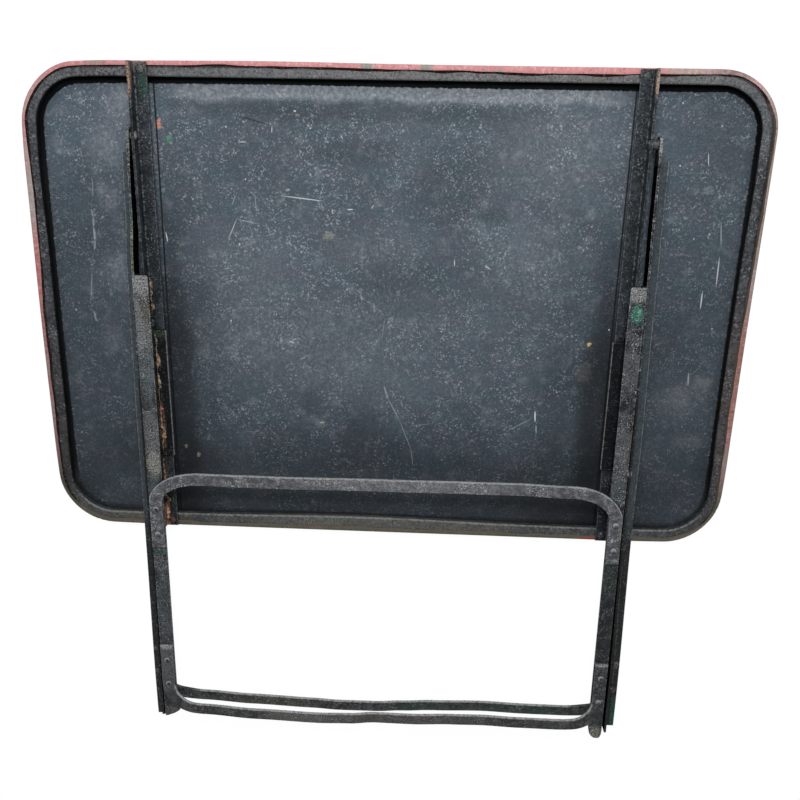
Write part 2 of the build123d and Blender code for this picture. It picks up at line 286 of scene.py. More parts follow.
# a copy of a CAD node's mesh, merged, its edges rubbed round, its inner corner filled, cut into stations and bent
def wornCopy(nodeName, body, finishes, rub=0.0005, steps=2, fillet=0.0, stationsX=(), stationsY=(),
             bend=None, pick=None):
    mesh = bmesh.new()
    mesh.from_mesh(nodes[nodeName].data)
    bmesh.ops.remove_doubles(mesh, verts=mesh.verts[:], dist=merge)
    bmesh.ops.dissolve_limit(mesh, angle_limit=radians(0.8), verts=mesh.verts[:], edges=mesh.edges[:])
    hollow = [edge for edge in sharpEdges(mesh) if not edge.is_convex and edge.calc_length() > 0.15]
    if fillet and hollow:
        rubRound(mesh, hollow, fillet, 4)
    if rub:
        rubRound(mesh, sharpEdges(mesh), rub, steps)
    cutAt(mesh, stationsX, stationsY)
    if pick:
        for face in mesh.faces:
            face.material_index = pick(face)
    keepFlatPlaces(mesh)
    if bend:
        for vert in mesh.verts:
            vert.co = vert.co + bend(vert.co)
    bmesh.ops.triangulate(mesh, faces=[face for face in mesh.faces if len(face.verts) > 4])
    piece = makePiece(mesh, camelCase(nodeName), body, finishes)
    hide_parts(nodeName)


def along(start, end, step):
    count = max(1, round((end - start) / step))
    return [start + (end - start) * index / count for index in range(1, count)]


# noise_vector starts from the clock unless it is given a seed
noise.seed_set(8)


def wobble(place, scale, amount):
    return noise.noise_vector(Vector(place) * scale) * amount


def lumpy(x, y, z):
    return noise.noise(Vector((x, y, z)))


def sideways(distance):
    return Vector((distance, 0, 0))


def ramp(value, low, high):
    share = min(1.0, max(0.0, (value - low) / (high - low)))
    return share * share * (3 - 2 * share)


def bell(value, middle, width):
    return exp(-((value - middle) / width) ** 2)


# smooth run through a few (place, height) pairs
def through(pairs, place):
    if place <= pairs[0][0]:
        return pairs[0][1]
    for (low, start), (high, end) in zip(pairs, pairs[1:]):
        if place <= high:
            return start + (end - start) * ramp(place, low, high)
    return pairs[-1][1]


# black for painted shade on unlit walls and in the lanes between the legs
shadeBlack = (0.004, 0.004, 0.0045)
print("helpers ready")


# tray: slate underside inside the hoop, red paint outside it

slate = dict(
    teal=(0.0575, 0.0812, 0.101), mauve=(0.0695, 0.0838, 0.1055), specular=0.16, dustColour=(0.34, 0.365, 0.395),
    brightDust=(0.58, 0.615, 0.63), soot=(0.01, 0.012, 0.015), dent=((-183.5, 240.4), (-147.5, 230.7), 1.6),
    spots=((0.0038, 0.36, 0.32, 0.38), (0.0085, 0.2, 0.15, 0.62), (0.024, 0.28, 0.07, 0.9)),
    # painted shade: darker beside the battens where the legs shade the panel, below the crossbar and towards the
    # bottom, along with a few darker stains; the upper left zone is lighter, as painted light
    shadeZones=(  # middle and half size in millimetres, how dark
        ((0, -268), (460, 115), 0.54), ((-385, -100), (95, 240), 0.3), ((385, -150), (95, 200), 0.38),
        ((-268, -80), (46, 240), 0.28), ((250, -140), (75, 200), 0.34), ((-385, 170), (90, 140), -0.11),
        ((-277, -130), (24, 200), 0.64), ((277, -150), (26, 200), 0.62), ((385, 190), (100, 130), 0.1),
        ((200, -255), (50, 25), 0.28), ((0, -50), (240, 120), 0.05), ((-47, 247), (175, 12), 0.26),
        ((-38, 200), (55, 14), 0.24), ((70, 159), (42, 42), 0.24), ((130, 129), (18, 12), 0.24),
        ((-97, -120), (18, 22), 0.24), ((20, 55), (50, 20), 0.12),
    ),
    haze=(  # middle, half size, how dusty
        ((-134, -31), (110, 50), 0.13), ((-15, 83), (50, 26), 0.1), ((-181, 63), (60, 35), 0.1),
        ((169, 82), (55, 45), 0.1), ((60, 0), (100, 40), 0.06), ((200, 200), (60, 50), 0.12),
        ((-20, -90), (90, 30), 0.06), ((-324.9, 252.9), (16, 20), 0.22), ((-350.3, 203), (20, 22), 0.18),
        ((-350.9, 142.4), (12, 14), 0.2), ((-346.4, 50.4), (16, 20), 0.22), ((-359.5, -37.7), (12, 14), 0.18),
        ((377.8, -102.3), (24, 20), 0.18), ((404.3, -78.4), (14, 12), 0.16), ((389.5, -157.3), (12, 10), 0.14),
    ),
    scratches=(  # start, end, width, brightness
        ((-131.5, 148), (-83.3, 143), 1.3, 0.75), ((-52.4, 133.4), (-44.9, 133.6), 1.4, 0.85),
        ((-71, 133.6), (-71, 127.6), 1.2, 0.6), ((195.3, -120.5), (196.3, -135.8), 1.8, 1.0),
        ((197.9, -140), (198.7, -151.2), 1.2, 0.6), ((157.7, -151.2), (190.8, -131.8), 1.2, 0.25),
        ((-143.9, 228.5), (-144.1, 221.6), 1.2, 0.6), ((-186, 210.6), (-176.2, 210.7), 1.2, 0.6),
        ((-191.2, 118.9), (-202.4, 94.1), 1.2, 0.5), ((-191.2, 118.9), (-163.8, 113.4), 1, 0.35),
        ((-282, 101), (-280.3, 88.6), 1.4, 0.8), ((376.4, 207.8), (378.3, 193), 1.1, 0.7),
        ((402.5, 125.7), (406.1, 99.3), 1.1, 0.45), ((406.3, 84.7), (407.1, 50.1), 1.4, 0.75),
        ((391.5, 42.2), (391.7, 21.1), 1.5, 0.85), ((387.9, -62.8), (389.1, -79.7), 2.2, 0.35),
        ((-375.2, 127.3), (-373.6, 117.5), 2.2, 0.26), ((-373.6, 117.5), (-374.1, 105.2), 2.6, 0.3),
        ((-374.1, 105.2), (-373.6, 89), 2.8, 0.34), ((-373.6, 89), (-375.6, 76.4), 2.4, 0.28),
        ((-381.3, 47), (-385.8, 12), 1.8, 0.22), ((-382.7, -2.4), (-381.3, -15.6), 2.6, 0.28),
        ((-370.6, 161.3), (-371.9, 142), 1.6, 0.22), ((-116.9, 247.1), (-114, 246.2), 1.8, 0.8),
        ((-98, 228.1), (-96, 227.5), 1.6, 0.7), ((-201.1, 227.6), (-199, 228), 1.8, 0.7),
        ((345.3, 193.6), (344.9, 191.8), 1.7, 0.9), ((372.3, 108.2), (372.3, 106), 1.4, 0.7),
        ((281.3, -8), (281.2, -10), 1.8, 0.9), ((-4.1, -92.4), (1.4, -109.9), 2.4, 0.28),
        ((1.4, -109.9), (16.7, -138.4), 1.5, 0.3), ((16.7, -138.4), (33.6, -181.1), 1.1, 0.25),
        ((33.6, -181.1), (36.3, -204.2), 1.1, 0.2), ((-4.1, -2.5), (-7.9, -32.1), 1, 0.2),
        ((120.3, 68), (127.5, 63.8), 1.5, 0.6), ((82.1, 75.1), (82.4, 67.1), 1.3, 0.7),
        ((30.7, -147), (60.5, -142.6), 1.1, 0.2), ((-167.1, 150.5), (-166.1, 127.5), 1.1, 0.25),
        ((-178.3, 168), (-178.3, 166.5), 1.8, 0.95), ((-19.3, 139.4), (-22.5, 135), 1.8, 0.45),
        ((-128.8, 154.8), (-123, 156), 3, 0.35), ((-98.5, 176.2), (-97, 172), 3, 0.3),
        ((-128, -35.2), (-121.5, -38), 1.8, 0.7), ((-123, -33), (-119.5, -32.5), 1.6, 0.5),
        ((-89.3, -146.2), (-83.5, -145.5), 1.8, 0.55), ((-203.4, -9), (-203.4, -11.8), 2, 0.7),
        ((-191.8, 148.2), (-196.1, 135.8), 1, 0.35),
    ),
    flecks=(  # middle, half size, colour, amount
        ((-283, 229.7), (4.2, 5.5), (0.55, 0.26, 0.19), 0.85),
        ((-270.5, 212.6), (3.4, 4.8), (0.07, 0.24, 0.16), 0.85),
        ((257.9, -28.9), (2.3, 2.3), (0.62, 0.48, 0.22), 0.95),
        ((254.2, -66.6), (10, 13), (0.21, 0.195, 0.19), 0.17), ((-75, 100.6), (6.5, 5), (0.28, 0.29, 0.25), 0.5),
        ((381.9, 165.4), (6, 5), (0.27, 0.31, 0.33), 0.3), ((-256, -198), (2.6, 3.2), (0.34, 0.31, 0.24), 0.55),
        ((-273.2, -186), (2, 2.8), (0.3, 0.26, 0.18), 0.5), ((380.2, -93.9), (12, 12), (0.25, 0.24, 0.26), 0.15),
        ((409, -75.5), (10, 6), (0.2, 0.21, 0.225), 0.3), ((-125, -36.2), (9, 6), (0.3, 0.32, 0.33), 0.28),
        ((-88, -147.6), (8, 5), (0.3, 0.31, 0.3), 0.28),
    ),
)


def slateUnderside(name, look):
    finish, shader, where = newFinish(name, look["specular"])
    x, y = axesOf(where)[:2]
    across = abs(x)
    big = cloud(where, 7.0, 5.0, 0.6)
    patches = cloud(vectors("MULTIPLY", where, (1.0, 1.7, 1.0)), 19.0, 4.0, 0.6)
    colour = tint(spread(patches, 0.4, 0.6), look["teal"], look["mauve"])
    colour = darken(colour, spread(big, 0.36, 0.66, 0.9, 1.12))
    brushed = cloud(vectors("MULTIPLY", where, (0.25, 1.6, 1.0)), 90.0, 4.0, 0.66)
    colour = tint(spread(brushed, 0.5, 0.76, 0.0, 0.2), colour, (0.16, 0.185, 0.205))
    ragged = cloud(where, 250.0, 3.0, 0.65)
    fine = cloud(where, 470.0, 2.0, 0.6)
    colour = darken(colour, spread(fine, 0.3, 0.7, 0.82, 1.18))
    crowd = spread(cloud(where, 17.0, 3.0, 0.6), 0.4, 0.58, 0.2, 1.0)
    crowd = crowd * spread(cloud(where, 80.0, 3.0, 0.6), 0.36, 0.58, 0.15, 1.0)
    crowd = crowd * spread(across, 0.29, 0.31, 1.0, 0.85)
    colour = tint(spread(cloud(where, 48.0, 5.0, 0.66), 0.52, 0.74, 0.0, 0.24), colour, look["dustColour"])
    for layer, low, amount in ((fine, 0.595, 0.82), (ragged, 0.6, 0.62)):
        colour = tint(spread(layer, low, 0.655, 0.0, amount) * crowd, colour, look["dustColour"])
    for cell, share, size, amount in look["spots"]:
        mask = spots(where, cell, share, size) * amount * (crowd * 0.75 + 0.25)
        colour = tint(mask, colour, look["brightDust"])
    # masks of one colour are gathered into one, so the shader stays small
    dusty = None
    for middle, half, amount in look["haze"]:
        zone = mark(where, inMetres(*middle, 0), inMetres(*half, anyDepth), patches, 0.8, 0.8) * amount
        dusty = dusty + zone if dusty else zone
    colour = tint(dusty * spread(ragged, 0.36, 0.62, 0.45, 1.5), colour, look["dustColour"])
    topDust = spread(y + (patches - 0.5) * 0.02, 0.2545, 0.2625, 0.0, 0.5) * spread(ragged, 0.36, 0.66, 0.4, 1.0)
    colour = tint(topDust * spread(across, 0.29, 0.24), colour, look["dustColour"])
    # all the painted shade zones gathered into one level
    shadeZoneLevel = None
    for middle, half, dark in look["shadeZones"]:
        zone = mark(where, inMetres(*middle, 0), inMetres(*half, anyDepth), big, 0.5, 0.7)
        zone = spread(zone, 0.0, 1.0, 1.0, 1.0 - dark)
        shadeZoneLevel = shadeZoneLevel * zone if shadeZoneLevel else zone
    colour = darken(colour, shadeZoneLevel)
    lines = None
    for start, end, width, bright in look["scratches"]:
        line = scratch(where, start, end, width) * bright
        lines = most(lines, line) if lines else line
    colour = tint(lines, colour, look["brightDust"])
    colour = tint(scratch(where, *look["dent"]) * 0.7, colour, look["soot"])
    for middle, half, fleckColour, amount in look["flecks"]:
        mask = mark(where, inMetres(*middle, 1), inMetres(*half, 50), ragged, 1.1, 0.35)
        colour = tint(mask * spread(fine, 0.36, 0.54, 0.3, 1.0) * amount, colour, fleckColour)
    # black painted shade and grime along the hoop's wall, widest on the left, hardly any of it on the lower run
    # where the light falls; on the top run it is widened as the hoop's painted shadow and loses its sheen, and a
    # softer painted shade reaches further in
    fromWall = rimInset(where) + (ragged - 0.5) * 0.0034
    fromWall = fromWall - spread(x, 0.36, 0.42, 0.001, -0.0014) - spread(y, 0.25, 0.27, 0.0, 0.0012)
    wallShadeAndGrime = spread(fromWall, 0.0221, 0.0233, 1.0, 0.0) * spread(y, -0.262, -0.2, 0.35, 0.97)
    colour = tint(wallShadeAndGrime, colour, (0.003, 0.0035, 0.004))
    sheenlessShade = wallShadeAndGrime * spread(y, 0.15, 0.27, 0.45, 1.0)
    spread(sheenlessShade, 0.0, 1.0, look["specular"], 0.0).into(shader.inputs["Specular IOR Level"])
    shade = spread(fromWall, 0.022, 0.036, 0.22, 0.0) * spread(y, -0.25, 0.1, 0.5, 1.0)
    colour = darken(colour, 1.0 - shade)
    # and painted shade on the panel under the battens' edges
    under = spread(across, 0.2842, 0.2848) * spread(across, 0.2872, 0.2862, 0.0, 0.92)
    colour = tint(under, colour, (0.004, 0.0045, 0.005))
    # painted shade where the panel meets the hoop, the battens and the legs
    colour = darken(colour, spread(occlusion(where, 0.014, 8), 0.25, 0.8, 0.12, 1.0))
    height = brushed * 0.6 + ragged * 0.6 + big * 4.0
    dress(shader, colour, spread(brushed, 0.35, 0.7, 0.52, 0.68), height, 0.25, 0.0008)
    return finish


red = dict(
    faded=(0.5, 0.205, 0.21), strong=(0.33, 0.052, 0.048), greyed=(0.4, 0.33, 0.315), bare=(0.23, 0.215, 0.19),
    olive=(0.085, 0.084, 0.058), rubbed=(0.68, 0.5, 0.49), crimp=(0.012, 0.008, 0.007), specular=0.25,
    lipTop=12.2, redSpot=((284, -299, 6), (22, 8, 10)), bareSpots=((-27, 297.5), (41.5, 297.5)),
    patches=(  # middle, half size, colour
        ((-447, 140), (20, 45), (0.34, 0.3, 0.285)), ((-447, 30), (20, 70), (0.4, 0.15, 0.145)),
        ((446, -60), (20, 100), (0.27, 0.125, 0.1)), ((345, 298), (30, 12), (0.36, 0.28, 0.25)),
        ((447, 238), (18, 34), (0.33, 0.255, 0.23)), ((447, 130), (20, 100), (0.27, 0.215, 0.195)),
        ((393, 297), (22, 10), (0.2, 0.15, 0.135)),
    ),
)


def redPaint(name, look):
    finish, shader, where = newFinish(name, look["specular"])
    x, y, z = axesOf(where)
    tone = cloud(where, 34.0, 5.0, 0.62)
    ragged = cloud(where, 260.0, 4.0, 0.68)
    lip = spread(z, 0.003, 0.0095)
    worn = spread(tone, 0.34, 0.66)
    colour = tint(most(worn, lip), look["strong"], look["faded"])
    # the lip is greyed down both ends, most on the right, and olive with dirt along the lower edge
    ends = most(spread(x, 0.36, 0.43, 0.0, 0.85), spread(x, -0.4, -0.44, 0.0, 0.65))
    ends = ends * spread(cloud(where, 46.0, 4.0, 0.6), 0.42, 0.56, 0.45, 1.0)
    colour = tint(lip * ends, colour, look["greyed"])
    for middle, half, patchColour in look["patches"]:
        patch = mark(where, inMetres(*middle, look["lipTop"]), inMetres(*half, 20), ragged, 0.7, 0.5)
        colour = tint(patch * 0.85, colour, patchColour)
    soiled = spread(y, -0.255, -0.13, 1.0, 0.0) * spread(tone, 0.36, 0.48, 0.85, 1.0)
    colour = tint(most(lip, spread(y, -0.27, -0.255, 1.0, 0.0)) * soiled, colour, look["olive"])
    redSpot = mark(where, *(inMetres(*lengths) for lengths in look["redSpot"]), ragged, 0.6, 0.4)
    colour = tint(redSpot, colour, look["strong"])
    rubs = spread(ragged, 0.54, 0.64, 0.0, 0.42) * spread(y, -0.24, -0.05, 0.12, 1.0)
    colour = tint(rubs * lip, colour, look["rubbed"])
    # the left lip is darker from its middle down
    darkerLowerLeft = spread(x, -0.42, -0.44) * spread(y, 0.04, -0.07, 0.0, 0.36)
    colour = darken(colour, 1.0 - darkerLowerLeft)
    chips = cloud(where, 26.0, 5.0, 0.7) + ragged * 0.35
    colour = tint(spread(chips, 0.79, 0.85, 0.0, 0.8), colour, look["bare"])
    for middle in look["bareSpots"]:
        bare = mark(where, inMetres(*middle, look["lipTop"]), inMetres(8, 4, 6), ragged, 1.4, 0.5)
        colour = tint(bare, colour, look["bare"])
    colour = darken(colour, spread(ragged, 0.34, 0.44, 0.6, 1.0))
    # painted shade in the lip's hollows and where parts come near
    colour = darken(colour, spread(occlusion(where, 0.004), 0.2, 0.85, 0.15, 1.0))
    dress(shader, colour, spread(tone, 0.3, 0.7, 0.42, 0.66), ragged, 0.35, 0.0006)
    return finish


# painted shadow, with some dirt, under the lip's inner edge
def lipShadowAndDirt(name, look):
    finish, shader, where = newFinish(name, 0.05)
    tone = cloud(where, 300.0, 4.0, 0.7)
    colour = tint(spread(tone, 0.5, 0.68), look["crimp"], (0.085, 0.052, 0.046))
    x, y = axesOf(where)[:2]
    bared = most(spread(y, -0.265, -0.28), spread(x, 0.43, 0.44, 0.0, 0.6))
    colour = tint(bared * 0.7, colour, (0.15, 0.125, 0.1))
    dress(shader, colour, spread(tone, 0.3, 0.7, 0.7, 0.9))
    return finish


def rimReach(place):
    past = Vector((max(abs(place.x) - rim["x"], 0), max(abs(place.y) - rim["y"], 0), 0))
    outward = Vector((copysign(past.x, place.x), copysign(past.y, place.y), 0))
    return rim["radius"] - past.length, outward


# slate inside the hoop, painted shadow and dirt on the lip's inner edge, red elsewhere
def trayFinish(face):
    middle = face.calc_center_median()
    inset, outward = rimReach(middle)
    if face.normal.z > 0.2 and middle.z < rim["panelTop"] and inset > rim["hoop"]:
        return 0
    onLip = middle.z > rim["lipUnder"] and inset > rim["lipEdge"]
    return 2 if onLip and face.normal.dot(outward) < -0.3 * outward.length else 1


# the real top is a little out of square: its upper end leans to the right and its corners are pulled in
lean = dict(
    left=0.003, right=0.0024, top=0.0013,
    corners=((-1, 1, 0.0046), (-1, -1, 0.0022), (1, -1, 0.0024), (1, 1, 0.0006)),
)


def trayLean(place):
    lift = ramp(place.y, -0.08, 0.26) * abs(place.x) / 0.45
    shift = sideways(lift * (lean["left"] if place.x < 0 else lean["right"]))
    shift.y += lean["top"] * bell(place.x, -0.15, 0.12) * ramp(place.y, 0.283, 0.297)
    for sideX, sideY, pull in lean["corners"]:
        near = ramp(place.x * sideX, 0.33, 0.45) * ramp(place.y * sideY, 0.18, 0.3)
        shift += Vector((-sideX, -sideY * 0.8, 0)) * (near * pull)
    return shift


# the rolled lip wanders: wider along the top edge, crimped and lifted here and there, with painted shadow and dirt
# below its edge
lipWave = dict(
    slow=0.0014, quick=0.0007, wider=0.001, lift=0.0003, dirt=0.0025, slim=0.002, broad=0.0021, left=0.0034,
    top=0.002,
)


def rimBend(place):
    shift = trayLean(place)
    inset, outward = rimReach(place)
    if place.z > 0.0104 and inset < 0.0062 and outward.length > 0:
        share = ramp(inset, 0.0012, 0.0045)
        slow = lumpy(place.x * 17, place.y * 17, 3.1)
        quick = lumpy(place.x * 60, place.y * 60, 7.7)
        reach = slow * lipWave["slow"] + quick * lipWave["quick"]
        reach += lipWave["wider"] * ramp(place.y, 0.2, 0.29) * (0.35 + ramp(place.x, -0.1, 0.1))
        reach -= lipWave["slim"] * ramp(place.x, 0.36, 0.42) * ramp(place.y, 0.09, 0.15)
        leftBump = (0.1 + 0.9 * bell(place.y, 0.125, 0.08)) * ramp(place.y, 0.25, 0.19)
        reach += lipWave["left"] * ramp(place.x, -0.41, -0.44) * leftBump
        reach += lipWave["top"] * ramp(place.y, 0.2, 0.29) * bell(place.x, 0.19, 0.07)
        rightRun = ramp(place.y, 0.04, -0.02) * ramp(place.y, -0.23, -0.17)
        reach += lipWave["broad"] * ramp(place.x, 0.41, 0.44) * rightRun
        if place.z < 0.0117 and inset > 0.0042:
            reach += lipWave["dirt"] * (0.75 + 0.9 * lumpy(place.x * 38, place.y * 38, 1.3))
        shift -= outward.normalized() * (share * reach)
        shift.z += lipWave["lift"] * share * max(0, quick)
    return shift


slateFinish = slateUnderside("slateUnderside", slate)
redFinish = redPaint("redTopPaint", red)
lipShadowFinish = lipShadowAndDirt("lipShadowAndDirt", red)
wornCopy("tray_sheet", "tray", (slateFinish, redFinish, lipShadowFinish), rub=0.0003,
         stationsX=along(-rim["x"], rim["x"], 0.008), stationsY=along(-rim["y"], rim["y"], 0.008),
         bend=rimBend, pick=trayFinish)
print("tray sheet made")


# edge hoop: grey-brown and paler along the top run as painted light, darker down the sides; its inner wall is
# painted black as shade but for the lower run, where it carries a painted highlight

hoopLook = dict(
    grain=0.5, deep=(0.022, 0.025, 0.029), pale=(0.078, 0.083, 0.09), cloudScale=50.0, specular=0.16,
    fleckColour=(0.29, 0.3, 0.305), pits=0.4, flecks=(0.7, 0.55), edgeReach=0.0016, edgeAmount=0.35,
    edgeColour=(0.24, 0.24, 0.235), paintedCornerShade=0.12, cornerReach=0.0045, rough=(0.5, 0.72),
    marks=onFlat(
        10.9, 10,
        ((-77, -290), (17, 7), (0.1, 0.14, 0.09), 0.7), ((0, -290), (160, 12), (0.115, 0.112, 0.095), 0.6),
        ((410, 260), (60, 60), (0.095, 0.106, 0.118), 0.75), ((-330, -285), (60, 12), (0.11, 0.095, 0.065), 0.5),
        ((440, -100), (12, 120), (0.085, 0.065, 0.062), 0.6), ((-440, -160), (12, 130), (0.03, 0.025, 0.025), 0.75),
        # the two pale marks along the top run are painted light, brighter where the light falls
        ((160, 290), (260, 12), (0.155, 0.145, 0.14), 0.7), ((-120, 290), (140, 12), (0.14, 0.14, 0.145), 0.5),
    ),
)


def hoopBands(where, colour, ragged):
    x, y, z = axesOf(where)
    # painted light: paler toward the top run, where the light falls
    upper = spread(y, 0.16, 0.283, 0.0, 0.5)
    colour = tint(upper * spread(ragged, 0.42, 0.6, 0.25, 1.0), colour, (0.17, 0.172, 0.178))
    lower = spread(y, -0.235, -0.268, 0.0, 0.75) * spread(abs(x), 0.12, 0.28, 0.85, 0.45)
    colour = tint(lower * spread(ragged, 0.42, 0.6, 0.45, 1.0), colour, (0.115, 0.118, 0.11))
    inset = rimInset(where) + (ragged - 0.5) * 0.0024
    # painted shadow and dirt just inside the lip, faint on the lower run
    crimp = spread(inset, 0.0066, 0.0092, 0.75, 0.0) * spread(y, -0.27, -0.2, 0.1, 1.0)
    colour = tint(crimp, colour, (0.006, 0.005, 0.005))
    # the inner wall is painted black as shade; on the lower run, where the light falls on it, only dark, and there
    # its upper edge carries a painted highlight
    unlitWall = spread(z, 0.008, 0.0094, 1.0, 0.0) * spread(y, -0.268, -0.215, 0.35, 0.97)
    colour = tint(unlitWall, colour, shadeBlack)
    rubbed = spread(inset, 0.015, 0.016) * spread(z, 0.0083, 0.0093) * spread(y, -0.255, -0.272, 0.0, 0.62)
    return tint(rubbed * spread(ragged, 0.38, 0.56, 0.35, 1.0), colour, (0.25, 0.255, 0.25))


# its inner edge is bowed in along the lower run, and a little down the sides
hoopBow = dict(reach=0.0042, middle=-0.03, spread=0.16, sides=0.0016)


def hoopBend(place):
    shift = trayLean(place)
    inner = ramp(rimReach(place)[0], 0.009, 0.0165)
    if place.y < -0.27:
        shift.y += hoopBow["reach"] * bell(place.x, hoopBow["middle"], hoopBow["spread"]) * inner
    if abs(place.x) > 0.42:
        side = hoopBow["sides"] * ramp(place.y, 0.16, 0.08) * ramp(place.y, -0.2, -0.14) * inner
        shift.x -= copysign(side, place.x)
    return shift


hoopFinish = agedPaint("hoopPaint", hoopLook, hoopBands)
wornCopy("edge_hoop", "tray", (hoopFinish,),
         stationsX=along(-rim["x"], rim["x"], 0.016), stationsY=along(-rim["y"], rim["y"], 0.016), bend=hoopBend)
print("edge hoop made")


# battens: black-green paint, a painted highlight with some dust in the inner corner, tan rubbed ends, rust down the
# left one

battenLook = dict(
    grain=0.5, deep=(0.011, 0.0145, 0.018), pale=(0.038, 0.045, 0.053), cloudScale=40.0, specular=0.1,
    fleckColour=(0.27, 0.285, 0.29), pits=0.5, flecks=(0.6, 0.45), edgeReach=0.0014, edgeAmount=0.6,
    edgeColour=(0.22, 0.225, 0.225), paintedCornerShade=0.12, cornerReach=0.014, rough=(0.5, 0.7),
    marks=onFlat(
        30, 6,
        ((-304, 281), (3, 20), (0.36, 0.24, 0.16), 0.9), ((304, 284), (3, 16), (0.4, 0.29, 0.22), 0.9),
    ) + onFlat(
        15.3, 10,
        ((-292.5, 272), (6, 13), (0.022, 0.06, 0.042), 0.8), ((-296.5, 293), (8, 6), (0.26, 0.2, 0.18), 0.6),
        ((-299.5, -225), (4, 30), (0.14, 0.085, 0.05), 0.6), ((-300.5, -280), (4, 20), (0.66, 0.34, 0.19), 0.9),
        ((-291.5, -284), (7, 16), (0.008, 0.007, 0.007), 0.85), ((-293.5, -287), (1.5, 3), (0.2, 0.05, 0.045), 0.8),
        ((-290.5, -250), (4, 18), (0.03, 0.05, 0.028), 0.7),
    ),
)


def battenLines(where, colour, ragged):
    x, _, z = axesOf(where)
    across = abs(x)
    # painted highlight along the inner fillet, with some dust
    dusty = spread(across, 0.3, 0.301) * spread(z, 0.0185, 0.017) * spread(ragged, 0.44, 0.62, 0.0, 0.6)
    colour = tint(dusty, colour, (0.19, 0.2, 0.2))
    lip = spread(across, 0.2881, 0.2875) * spread(ragged, 0.4, 0.58, 0.05, 0.45)
    return tint(lip, colour, (0.14, 0.15, 0.155))


battenFinish = agedPaint("battenPaint", battenLook, battenLines)
lengthwise = along(-0.6, 0.3, 0.012)
for side in ("left", "right"):
    wornCopy(side + "_batten", "tray", (battenFinish,), fillet=0.0022, stationsY=lengthwise,
             bend=lambda place: wobble(place, 9.0, 0.0004))
print("battens made")


# legs: the outer pair bows in to the battens at the top and splays at the feet, the inner pair splays a little

# distances from the middle line, the gap between the legs, and where the feet end
legLines = dict(inner=0.304, outer=0.3255, web=0.3185, gapStart=0.305, gap=0.0105, end=-0.596)
splay = dict(inner=0.00375, crossing=0.0022)
leftSplay = dict(foot=0.0062, top=-0.0084, flange=0.84)
rightSplay = dict(foot=0.007, top=-0.003, flange=0.96)


def innerSplay(place):
    return splay["inner"] * ramp(place.y, 0.052, -0.85) * place.x / legLines["inner"]


def outerSplay(place):
    return leftSplay if place.x < 0 else rightSplay


def outerShift(place):
    side = outerSplay(place)
    pairs = [(-0.6, side["foot"]), (-0.193, splay["crossing"]), (0.0, 0.0)]
    pairs += [(height, side["top"] * share) for height, share in ((0.06, 0.22), (0.13, 0.68), (0.225, 1.0))]
    return through(pairs, place.y)


def outerBend(place):
    past = max(abs(place.x) - legLines["web"], 0)
    moved = past * (outerSplay(place)["flange"] - 1) + outerShift(place)
    shift = sideways(copysign(1, place.x) * moved) + wobble(place, 7.0, 0.0004)
    if place.x < 0:
        shift.y -= ramp(place.y, -0.56, legLines["end"]) * (0.003 + 0.01 * ramp(place.z, 0.0335, 0.0175))
    return shift


# feet: the right inner one is rubbed to a knob, the left one is cut askew and fans out to its bar
def innerBend(place):
    shift = sideways(innerSplay(place)) + wobble(place, 7.0, 0.0004)
    past = ramp(place.y, -0.57, legLines["end"])
    if place.x < 0:
        inside = ramp(place.x, -0.3135, -0.2945)
        shift.y += past * (0.002 + 0.008 * inside)
        shift.x += 0.004 * inside * past
    elif place.z > 0.036:
        tip = min(1.0, max(0.0, (-0.58 - place.y) / 0.016))
        shift.x += (0.3025 - place.x) * (1 - sqrt(max(0.0, 1 - tip * tip * 0.75))) + 0.002 * tip
        shift.y -= 0.003 * past
    return shift


legLook = dict(
    deep=(0.0085, 0.0098, 0.0118), pale=(0.066, 0.073, 0.082), cloudScale=75.0, grain=0.35, specular=0.16,
    fleckColour=(0.42, 0.43, 0.44), pits=0.3, flecks=(0.78, 0.66), edgeReach=0.0018, edgeAmount=0.8,
    edgeColour=(0.33, 0.34, 0.345), paintedCornerShade=0.06, cornerReach=0.01, rough=(0.42, 0.68),
)
innerLook = dict(
    legLook,
    marks=onFlat(
        42.3, 20,
        ((-304.5, 44), (16, 16), (0.27, 0.28, 0.285), 0.9), ((-300, -5), (5, 35), (0.26, 0.23, 0.19), 0.4),
        ((304, 46), (16, 12), (0.25, 0.25, 0.25), 0.9), ((305, 20), (7.5, 11), (0.035, 0.19, 0.13), 0.9),
        ((307, 22), (2.5, 4), (0.26, 0.38, 0.34), 0.6), ((304, -45), (9, 30), (0.12, 0.13, 0.145), 0.5),
        ((303, -160), (10, 40), (0.14, 0.145, 0.15), 0.6), ((303.5, -215), (10, 20), (0.09, 0.115, 0.115), 0.6),
        ((-303.5, -196), (8.5, 19), (0.3, 0.295, 0.265), 0.85), ((-304, -235), (8.5, 22), (0.07, 0.1, 0.09), 0.7),
        ((-304, -60), (10, 50), (0.14, 0.17, 0.18), 0.6), ((-309.5, -8), (6, 35), (0.22, 0.225, 0.23), 0.7),
        ((-304, -152), (10, 26), (0.17, 0.175, 0.18), 0.7), ((-304, -345), (10, 12), (0.13, 0.135, 0.14), 0.5),
        ((302, -430), (11, 60), (0.02, 0.022, 0.025), 0.5), ((-304, -325), (8, 8), (0.05, 0.1, 0.08), 0.75),
        ((-304, -420), (10, 60), (0.09, 0.105, 0.11), 0.6), ((302, -345), (10, 22), (0.045, 0.075, 0.065), 0.6),
    ) + onFlat(
        40, 20,
        ((302, -590), (13, 14), (0.28, 0.285, 0.24), 0.95), ((-306, -588), (10, 10), (0.15, 0.135, 0.12), 0.5),
    ) + onFlat(42.3, 20, ((306, -560), (6, 14), (0.05, 0.12, 0.085), 0.7)),
)
